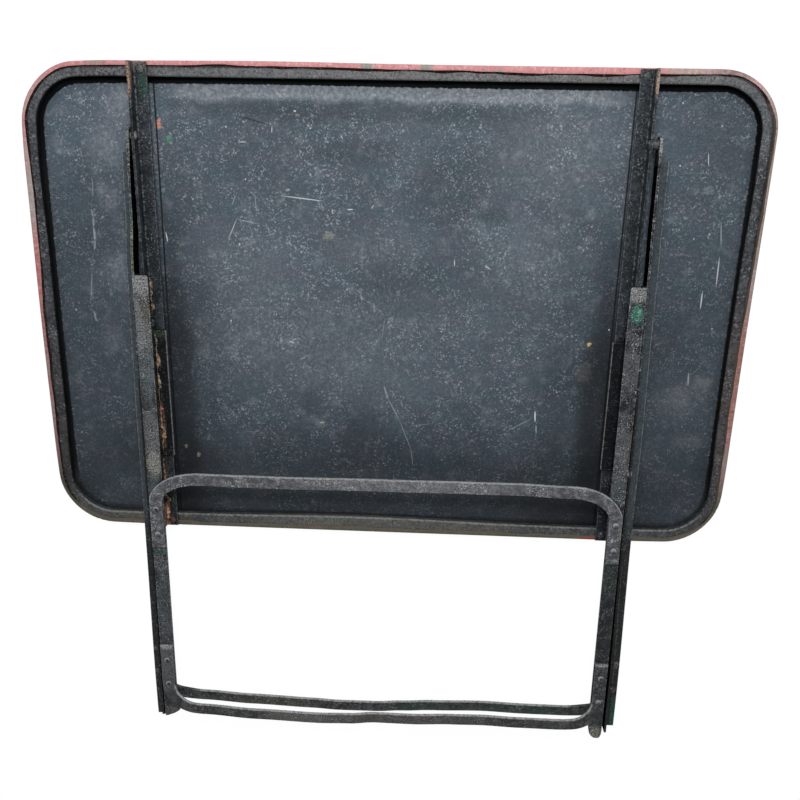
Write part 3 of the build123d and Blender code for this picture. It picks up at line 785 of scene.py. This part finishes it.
outerLook = dict(
    legLook, deep=(0.008, 0.009, 0.0105), pale=(0.042, 0.047, 0.053), edgeAmount=0.7,
    marks=onFlat(
        32, 8,
        ((-316.5, 212), (5, 10), (0.28, 0.28, 0.28), 0.7), ((316.5, 214), (5, 10), (0.34, 0.34, 0.34), 0.85),
    ) + onFlat(
        33, 10,
        ((-316.5, 85), (5, 30), (0.2, 0.185, 0.13), 0.6), ((-316.5, 120), (5, 20), (0.045, 0.1, 0.065), 0.6),
        ((316.5, -193), (4, 5), (0.62, 0.6, 0.57), 0.95),
    ) + onFlat(
        17.5, 10,
        ((325.5, -576), (10, 27), (0.03, 0.205, 0.135), 0.95), ((326, -491), (6, 4), (0.62, 0.62, 0.62), 0.8),
        ((324, -533), (7, 2.2), (0.5, 0.51, 0.5), 0.7),
    ) + onFlat(
        33, 10,
        ((317, -572), (3, 35), (0.34, 0.34, 0.29), 0.7), ((-317, -585), (4, 20), (0.24, 0.21, 0.17), 0.6),
    ),
)


# the outer legs' flats carry the panel's slate paint over the tray, and their webs are painted black as the shade in
# the lane between the legs towards the feet this painted shade spreads onto the flats, with a worn line along its
# edge
def slateFlats(where, colour, ragged):
    x, y, z = axesOf(where)
    across = abs(x)
    flat = spread(across, 0.319, 0.3204) * spread(y, -0.31, -0.26, 0.0, 0.8)
    flat = flat * spread(across, 0.3318, 0.3312) * spread(y, 0.1985, 0.1975)
    mottle = tint(spread(ragged, 0.38, 0.62), (0.034, 0.046, 0.055), (0.056, 0.072, 0.084))
    colour = tint(flat, colour, mottle)
    line = spread(across, 0.3311, 0.3316) * spread(ragged, 0.36, 0.56, 0.15, 0.6)
    colour = tint(line * spread(y, -0.3, -0.2), colour, (0.19, 0.205, 0.215))
    low = spread(y, -0.24, -0.36) * spread(x, -0.1, 0.1, 0.38, 0.6)
    colour = darken(colour, 1.0 - low)
    across = across - spread(y, -0.6, 0.0, 0.0066, 0.0, "LINEAR")
    # painted shade: black on the webs and their top edges in the lane between the legs
    onWeb = spread(across, 0.3204, 0.3188)
    web = onWeb * spread(z, 0.033, 0.0318) * most(spread(z, 0.0178, 0.0186), spread(y, -0.54, -0.53))
    web = web * spread(y, 0.2, 0.192, 0.0, 0.92)
    top = onWeb * spread(y, -0.04, -0.1, 0.0, 0.9) * spread(ragged, 0.6, 0.66, 1.0, 0.2)
    colour = tint(most(web, top), colour, shadeBlack)
    worn = spread(across, 0.3178, 0.3184) * spread(across, 0.3204, 0.3196) * spread(ragged, 0.42, 0.56, 0.1, 0.8)
    worn = worn * spread(y, -0.22, -0.3) * spread(y, -0.54, -0.52)
    return tint(worn, colour, (0.095, 0.09, 0.08))


# the inner legs' webs are painted black too, as shade, the right leg is darker below the tray and its knob is
# speckled
def blackWebs(where, colour, ragged):
    x, y, z = axesOf(where)
    low = spread(y, -0.24, -0.32) * spread(x, -0.1, 0.1, 0.0, 0.42) * spread(y, -0.585, -0.575)
    colour = darken(colour, 1.0 - low)
    knob = spread(y, -0.572, -0.58) * spread(x, 0.0, 0.1)
    colour = tint(knob * spread(ragged, 0.5, 0.42, 0.0, 0.8), colour, (0.02, 0.021, 0.017))
    colour = tint(knob * spots(where, 0.0042, 0.55, 0.3) * 0.75, colour, (0.6, 0.61, 0.55))
    # painted shade: the webs below the flats are black
    return tint(spread(z, 0.0412, 0.0398) * 0.9, colour, shadeBlack)


def shadowPaint(name, look):
    finish, shader, where = newFinish(name, 0.0)
    soil = cloud(where, 260.0, 4.0, 0.7)
    colour = tint(spread(soil, 0.56, 0.7), look["black"], look["dust"])
    dress(shader, colour, spread(soil, 0.3, 0.7, 0.85, 0.95))
    return finish


def outerPick(face):
    middle = face.calc_center_median()
    return 1 if abs(face.normal.x) > 0.7 and face.normal.x * middle.x < 0 and middle.y < 0.19 else 0


webShade = dict(black=(0.003, 0.0032, 0.0036), dust=(0.03, 0.03, 0.03))
webFinish = shadowPaint("webShade", webShade)
innerFinish = agedPaint("innerLegPaint", innerLook, blackWebs)
outerFinish = agedPaint("outerLegPaint", outerLook, slateFlats)
footAlong = [-0.594, -0.592, -0.59, -0.587, -0.584, -0.58]
footAcross = [0.298, 0.301, 0.3035, 0.306, 0.309]
for side in ("left", "right"):
    wornCopy(side + "_outer_leg", "outer_leg_frame", (outerFinish, webFinish), fillet=0.002,
             stationsY=lengthwise, bend=outerBend, pick=outerPick)
    wornCopy(side + "_inner_leg", "inner_leg_frame", (innerFinish,), fillet=0.002,
             stationsX=[hand * place for hand in (-1, 1) for place in footAcross],
             stationsY=lengthwise + footAlong, bend=innerBend)
print("legs made")


# stays: almost black, with a pale rubbed edge

stayLook = dict(
    battenLook, deep=(0.004, 0.0045, 0.0055), pale=(0.011, 0.012, 0.015), specular=0.06, flecks=(0.22, 0.16),
    edgeAmount=0.75,
    marks=onFlat(
        18.8, 10,
        ((-296.5, -150), (3.5, 35), (0.22, 0.13, 0.075), 0.6), ((-292, -20), (10, 10), (0.03, 0.07, 0.045), 0.7),
        ((293, -12), (12, 3), (0.22, 0.22, 0.22), 0.6),
    ),
)


def stayEdge(where, colour, ragged):
    across = abs(axesOf(where)[0])
    lip = spread(across, 0.2852, 0.2846) * spread(ragged, 0.36, 0.56, 0.3, 0.8)
    return tint(lip, colour, (0.22, 0.23, 0.235))


stayFinish = agedPaint("stayPaint", stayLook, stayEdge)
for side in ("left", "right"):
    wornCopy(side + "_stay", side + "_stay_arm", (stayFinish,), stationsY=lengthwise,
             bend=lambda place: wobble(place, 9.0, 0.0002))
print("stays made")


# crossbars: flat bars with rounded edges, the lower pair sagging and waving

barLook = dict(
    legLook, deep=(0.055, 0.059, 0.066), pale=(0.16, 0.168, 0.182), cloudScale=110.0, grain=0.45,
    fleckColour=(0.58, 0.59, 0.6), flecks=(0.85, 0.75), pits=0.5, edgeReach=0.0018, edgeAmount=0.5,
    edgeColour=(0.36, 0.37, 0.375), cornerReach=0.006, specular=0.22,
    marks=onFlat(
        46.3, 10,
        ((306.8, -312), (3.5, 2.2), (0.45, 0.45, 0.45), 0.95), ((30, -216), (130, 14), (0.22, 0.225, 0.235), 0.5),
        ((305, -295), (12, 22), (0.045, 0.05, 0.056), 0.6),
    ),
)
lowBarLook = dict(
    barLook, deep=(0.01, 0.011, 0.0125), pale=(0.078, 0.08, 0.083), cloudScale=80.0, grain=0.4,
    fleckColour=(0.34, 0.335, 0.32), flecks=(0.65, 0.55), pits=0.4,
    marks=onFlat(
        46.3, 10,
        ((-304.5, -510), (12, 40), (0.15, 0.155, 0.16), 0.6),
        ((-304.5, -473.5), (10, 3.2), (0.42, 0.42, 0.42), 0.95), ((-304.5, -477.5), (9, 1.2), (0.3, 0.3, 0.3), 0.7),
        ((304, -475), (10, 2.5), (0.42, 0.42, 0.44), 0.9),
    ) + onFlat(
        12, 20,
        ((-160, -573), (60, 12), (0.1, 0.095, 0.065), 0.55), ((50, -573), (50, 12), (0.022, 0.05, 0.04), 0.7),
        ((200, -573), (60, 12), (0.022, 0.055, 0.044), 0.7),
    ) + onFlat(
        46, 20,
        ((20, -573), (120, 12), (0.15, 0.14, 0.125), 0.5), ((-120, -573), (50, 10), (0.2, 0.195, 0.185), 0.55),
    ),
)


# the upper edge of a bar, where the light falls, carries a painted highlight along its straight run and round its
# bends
def litEdgeHighlight(line, bend):
    def paint(where, colour, ragged):
        x, y, z = axesOf(where)
        across = abs(x)
        run = spread(y, line + 0.007, line + 0.0079) * spread(across, bend["x"] + 0.006, bend["x"] - 0.006)
        fromBend = {0: across - bend["x"], 1: y - bend["y"]}
        reach = vectors("LENGTH", channel(addNode(where.tree, "CombineXYZ", fromBend).outputs[0]))
        bendHighlight = spread(reach, bend["radius"] - 0.0015 * bend["side"], bend["radius"] - 0.0006 * bend["side"])
        bendHighlight = bendHighlight * spread(across, bend["x"] - 0.004, bend["x"] + 0.004)
        bendHighlight = bendHighlight * spread(y, bend["y"] - 0.004 * bend["side"], bend["y"] + 0.004 * bend["side"])
        bendHighlight = bendHighlight * spread(z, 0.03, 0.036)
        edge = most(run, bendHighlight) * spread(ragged, 0.36, 0.56, 0.25, 0.85)
        return tint(edge, colour, (0.42, 0.43, 0.44))
    return paint


barSag = dict(
    inner_lower=(
        (-0.3, 0.0), (-0.255, -0.0048), (-0.18, -0.0092), (-0.09, -0.0112), (-0.045, -0.0096), (-0.01, -0.0056),
        (0.045, -0.0058), (0.1, -0.0034), (0.145, -0.0022), (0.19, -0.0038), (0.25, -0.0036), (0.3, 0.0),
    ),
    outer_lower=(
        (-0.31, 0.0), (-0.26, -0.0044), (-0.19, -0.008), (-0.1, -0.0105), (-0.065, -0.0122), (-0.01, -0.0114),
        (0.03, -0.0082), (0.07, -0.0055), (0.145, -0.0028), (0.2, -0.0044), (0.26, -0.0042), (0.31, 0.0),
    ),
    inner_upper=(
        (-0.3, 0.0), (-0.15, -0.0008), (0.0, 0.0006), (0.035, 0.0007), (0.105, 0.0013), (0.175, 0.0015),
        (0.235, -0.0002), (0.3, 0.0),
    ),
)
barEnds = (0.262, 0.296)
barSlim = dict(inner_lower=0.9, outer_lower=0.88, inner_upper=0.94)
barLine = dict(inner_upper=-0.216, inner_lower=-0.573, outer_lower=-0.573)


# the upper bar's real bends are drawn out along the run: radius of the plain bend, extra length along and down it
upperBend = dict(x=0.272, y=-0.248, radius=0.032, run=0.026, dropLeft=0.002, dropRight=0.008)


def drawnOut(place):
    look, across = upperBend, abs(place.x)
    drop = look["dropLeft"] if place.x < 0 else look["dropRight"]
    beside, above = across - look["x"], place.y - look["y"]
    if above <= 0:
        gone, off = look["radius"] * pi / 2 - above, beside - look["radius"]
    elif beside <= 0:
        gone, off = beside, above - look["radius"]
    else:
        gone, off = look["radius"] * atan2(beside, above), sqrt(beside * beside + above * above) - look["radius"]
    share = (gone + look["run"]) / (look["run"] + look["radius"] * pi / 2 + drop)
    off *= barSlim["inner_upper"] + (1 - barSlim["inner_upper"]) * ramp(share, 0.6, 1.0)
    if share <= 0:
        return Vector((across, look["y"] + look["radius"] + off, 0))
    if share >= 1:
        return Vector((look["x"] + look["radius"] + off, place.y, 0))
    turn, wide, tall = share * pi / 2, look["radius"] + look["run"], look["radius"] + drop
    outward = Vector((tall * sin(turn), wide * cos(turn), 0)).normalized()
    middle = Vector((look["x"] - look["run"] + wide * sin(turn), look["y"] - drop + tall * cos(turn), 0))
    return middle + outward * off


def barBend(bar):
    def bend(place):
        line, level = barLine[bar], 1 - ramp(abs(place.x), *barEnds)
        shift = Vector((0, through(barSag[bar], place.x), 0))
        if bar == "inner_upper":
            drawn = drawnOut(place)
            shift = shift * level + Vector((copysign(drawn.x, place.x) - place.x, drawn.y - place.y, 0))
        else:
            shift *= 1 - ramp(place.y, line + 0.02, line + 0.07)
            shift.y += (line - place.y) * (1 - barSlim[bar]) * level
        if bar == "outer_lower":
            past = max(0.0, abs(place.x) - legLines["web"])
            shift.x += outerShift(place) * place.x / legLines["outer"] - copysign(past * 0.3, place.x)
        else:
            shift.x += innerSplay(place)
        wave = 0.0003 if bar == "outer_lower" else 0.0006
        shift.z += wave * lumpy(place.x * 14, 5.0, line) * level
        return shift
    return bend


upperEdge = dict(x=0.272, y=-0.248, radius=0.0405, side=1)
lowerEdge = dict(x=0.269, y=-0.538, radius=0.0265, side=-1)
barFinish = agedPaint("upperBarPaint", barLook, litEdgeHighlight(barLine["inner_upper"], upperEdge))
lowBarFinish = agedPaint("lowerBarPaint", lowBarLook, litEdgeHighlight(barLine["inner_lower"], lowerEdge))
for bar, line in barLine.items():
    upper = bar == "inner_upper"
    wornCopy(bar + "_crossbar", nodeBody[bar + "_crossbar"], (barFinish if upper else lowBarFinish,),
             rub=0.0011, steps=3, stationsX=along(-0.3, 0.3, 0.01),
             stationsY=along(line, line + (-0.1 if upper else 0.1), 0.01), bend=barBend(bar))
print("crossbars made")


# rivets, pivots, spacers and washers: hammered lumps that follow the bent legs

rivetLook = dict(
    legLook, deep=(0.013, 0.014, 0.016), pale=(0.06, 0.063, 0.067), edgeAmount=0.2, edgeReach=0.0012,
    paintedCornerShade=0.04, cornerReach=0.006, flecks=(0.5, 0.45), specular=0.3, rough=(0.36, 0.6),
    marks=(
        onFlat(33, 6, ((318, -193), (6, 6), (0.5, 0.48, 0.45), 0.8))
        + onFlat(28, 6, ((-306, 216), (8, 6), (0.3, 0.3, 0.3), 0.6))
        + onFlat(17, 6, ((-296, -290), (10, 8), (0.1, 0.045, 0.03), 0.8))
    ),
)
rivetHeads = dict(  # centre of each crossbar head, how far its middle is struck in
    pale=(0.3, 0.31, 0.315), hole=(0.003, 0.003, 0.003), deep=0.0009, top=0.0463,
    struck=((-0.304, -0.2605, 0.0015), (-0.304, -0.2975, 0.0006), (-0.304, -0.496, 0.0016), (-0.304, -0.535, 0.0014),
            (0.304, -0.2605, 0.0004), (0.304, -0.2975, 0.0004), (0.304, -0.496, 0.001), (0.304, -0.535, 0.0004)),
)


# a painted highlight crescent on each head's upper side, and below it a black pit on deeply struck heads, a painted
# shadow on the others
def struckHeads(where, colour, ragged):
    for x, y, depth in rivetHeads["struck"]:
        litCrescent = mark(where, (x, y + 0.001, 0.048), (0.0043, 0.004, 0.004), ragged, 0.5, 0.2)
        colour = tint(litCrescent * 0.8, colour, rivetHeads["pale"])
        size, drop, amount = (0.0026, 0.0004, 0.95) if depth > rivetHeads["deep"] else (0.003, 0.0022, 0.75)
        pitAndShadow = mark(where, (x + 0.0006, y - drop, 0.048), (size, size, 0.006), ragged, 0.4, 0.2)
        colour = tint(pitAndShadow * amount, colour, rivetHeads["hole"])
    return colour


def hammered(place):
    shift = wobble(place, 330.0, 0.00035) + wobble(place, 120.0, 0.0003)
    if place.z > rivetHeads["top"]:
        for x, y, depth in rivetHeads["struck"]:
            away = sqrt((place.x - x - 0.0004) ** 2 + (place.y - y + 0.0003) ** 2)
            shift.z -= depth * (1 - ramp(away, 0.0008, 0.003))
    return shift


def withInner(place):
    return hammered(place) + sideways(innerSplay(place))


def withOuter(place):
    return hammered(place) + sideways(outerShift(place) * place.x / legLines["outer"])


# the tray pivot and spacer close up to the bowed leg, the cross pivot opens a little
def betweenLegs(place):
    share = min(1.0, max(0.0, (abs(place.x) - legLines["gapStart"]) / legLines["gap"]))
    return hammered(place) * 0.6 + sideways(copysign(share, place.x) * outerShift(place))


rivetFinish = agedPaint("rivetPaint", rivetLook, struckHeads)
small = [("batten_rivets", hammered), ("inner_upper_crossbar_rivets", withInner),
         ("inner_lower_crossbar_rivets", withInner), ("outer_lower_crossbar_rivets", withOuter)]
for side in ("left", "right"):
    kinds = ("_tray_pivot", "_pivot_spacer", "_cross_pivot", "_cross_washer")
    small += [(side + kind, betweenLegs) for kind in kinds]
    small.append((side + "_stay_pivot", hammered))
for name, bend in small:
    wornCopy(name, nodeBody[name], (rivetFinish,), rub=0.0, bend=bend)
print("rivets and pivots made")


# rust crust in the left batten's corner and on the left stay

rustLook = dict(
    grain=0.5, deep=(0.075, 0.052, 0.033), pale=(0.45, 0.33, 0.225), cloudScale=120.0, specular=0.06,
    fleckColour=(0.62, 0.56, 0.47), flecks=(0.7, 0.55), pits=0.12, edgeReach=0.001, edgeAmount=0.2,
    edgeColour=(0.46, 0.37, 0.29), paintedCornerShade=0.15, cornerReach=0.004, rough=(0.8, 0.95),
    marks=onFlat(
        19, 10,
        ((-297, -128), (4, 6), (0.36, 0.14, 0.13), 0.7), ((-298, -45), (5, 10), (0.055, 0.075, 0.045), 0.7),
    ) + onFlat(
        16, 10,
        ((-298, -265), (6, 4), (0.03, 0.035, 0.02), 0.6), ((-298.5, -282), (6, 14), (0.66, 0.35, 0.2), 0.9),
        ((-297.5, -212), (6, 14), (0.3, 0.19, 0.115), 0.7),
    ),
)
rustFinish = agedPaint("rustCrust", rustLook)
rustHeight = 0.0034


def rustCrust(name, body, start, end, inner, width, base, seed):
    mesh = bmesh.new()
    bmesh.ops.create_cube(mesh, size=1.0)
    bmesh.ops.scale(mesh, vec=(width, end - start, 0.0016), verts=mesh.verts)
    bmesh.ops.translate(mesh, vec=(inner + width / 2, (start + end) / 2, base + 0.0002), verts=mesh.verts)
    cutAt(mesh, along(inner, inner + width, 0.0008), along(start, end, 0.0011), [base + 0.0004])
    keepFlatPlaces(mesh)
    for vert in mesh.verts:
        place = vert.co.copy()
        share = (place.x - inner) / width
        ends = min(1.0, (place.y - start) / 0.006, (end - place.y) / 0.006)
        reach = 0.55 + 0.9 * lumpy(3.0, place.y * 75, seed) + 0.25 * lumpy(9.0, place.y * 260, seed)
        lump = 0.55 + 0.8 * lumpy(place.x * 190, place.y * 190, seed)
        lump += 0.45 * lumpy(place.x * 520, place.y * 520, seed)
        crown = max(0.0, 1 - (share / max(0.12, reach * ends)) ** 2)
        if place.z > base + 0.0006:
            vert.co.z = base - 0.0004 + rustHeight * crown * max(0.25, lump)
        vert.co.x = inner + width * share * min(1.0, max(0.25, reach) * max(0.2, ends))
    bmesh.ops.recalc_face_normals(mesh, faces=mesh.faces[:])
    makePiece(mesh, name, body, (rustFinish,), 60)


rustCrust("leftStayRust", "left_stay_arm",
          start=-0.188, end=-0.022, inner=-0.2984, width=0.0058, base=0.0188, seed=1.7)
rustCrust("leftBattenRustUpper", "tray",
          start=0.0, end=0.046, inner=-0.301, width=0.0044, base=0.0153, seed=5.2)
rustCrust("leftBattenRustLower", "tray",
          start=-0.294, end=-0.196, inner=-0.301, width=0.0078, base=0.0153, seed=8.9)
print("rust made")


# floor, light and camera

stageSet = dict(
    floorSize=12.0, floorLevel=-0.0006, floorColour=(0.93, 0.93, 0.93), glow=1.04, floorGlow=0.93,
    keyPlace=(0.05, 0.8, 1.15), keySize=0.45, keyPower=16.5, sky=0.3,
)
cameraSet = dict(place=(0.059546, 0.216918, 1.033786), turn=(-17.56224, 2.65431, 0.98544), lens=36.9464)


def seenRays(tree):
    rays = addNode(tree, "LightPath")
    kinds = ("Camera", "Glossy", "Transmission")
    seen, glossy, passed = [channel(rays.outputs["Is %s Ray" % kind]) for kind in kinds]
    return maths("ADD", seen + glossy, passed, clamp=True)


def blend(share, first, second):
    sockets = {0: share, 1: channel(first.outputs[0]), 2: channel(second.outputs[0])}
    return addNode(share.tree, "MixShader", sockets)


def makeFloor(look):
    mesh = bmesh.new()
    bmesh.ops.create_grid(mesh, x_segments=1, y_segments=1, size=look["floorSize"] / 2)
    bmesh.ops.translate(mesh, verts=mesh.verts, vec=(0, 0, look["floorLevel"]))
    data = bpy.data.meshes.new("floor")
    mesh.to_mesh(data)
    mesh.free()
    floor = bpy.data.objects.new("floor", data)
    scene.collection.objects.link(floor)
    paper = bpy.data.materials.new("floorPaper")
    paper.use_nodes = True
    tree = paper.node_tree
    tree.nodes.clear()
    matt = addNode(tree, "BsdfDiffuse", {"Color": (*look["floorColour"], 1)})
    glow = addNode(tree, "Emission", {"Color": (1, 1, 1, 1), "Strength": look["glow"]})
    clear = addNode(tree, "BsdfTransparent")
    back = channel(addNode(tree, "NewGeometry").outputs["Backfacing"])
    lit = blend(seenRays(tree) * look["floorGlow"], matt, glow)
    channel(blend(back, lit, clear).outputs[0]).into(addNode(tree, "OutputMaterial").inputs["Surface"])
    data.materials.append(paper)


def makeLight(look):
    lamp = bpy.data.lights.new("windowLight", "AREA")
    lamp.shape = "SQUARE"
    lamp.size = look["keySize"]
    lamp.energy = look["keyPower"]
    window = bpy.data.objects.new("windowLight", lamp)
    window.location = look["keyPlace"]
    window.rotation_euler = (-Vector(look["keyPlace"])).to_track_quat("-Z", "Y").to_euler()
    scene.collection.objects.link(window)
    sky = bpy.data.worlds.new("softSky")
    sky.use_nodes = True
    backdrop = sky.node_tree.nodes["Background"]
    backdrop.inputs["Color"].default_value = (1, 1, 1, 1)
    spread(seenRays(sky.node_tree), 0.0, 1.0, look["sky"], 1.0).into(backdrop.inputs["Strength"])
    scene.world = sky


def makeCamera(look):
    lens = bpy.data.cameras.new("photoCamera")
    lens.sensor_width = 36.0
    lens.lens = look["lens"]
    lens.clip_start = 0.01
    view = bpy.data.objects.new("photoCamera", lens)
    view.location = look["place"]
    view.rotation_euler = [radians(angle) for angle in look["turn"]]
    scene.collection.objects.link(view)
    scene.camera = view


makeFloor(stageSet)
makeLight(stageSet)
makeCamera(cameraSet)
scene.view_settings.view_transform = "Standard"
print("stage set")
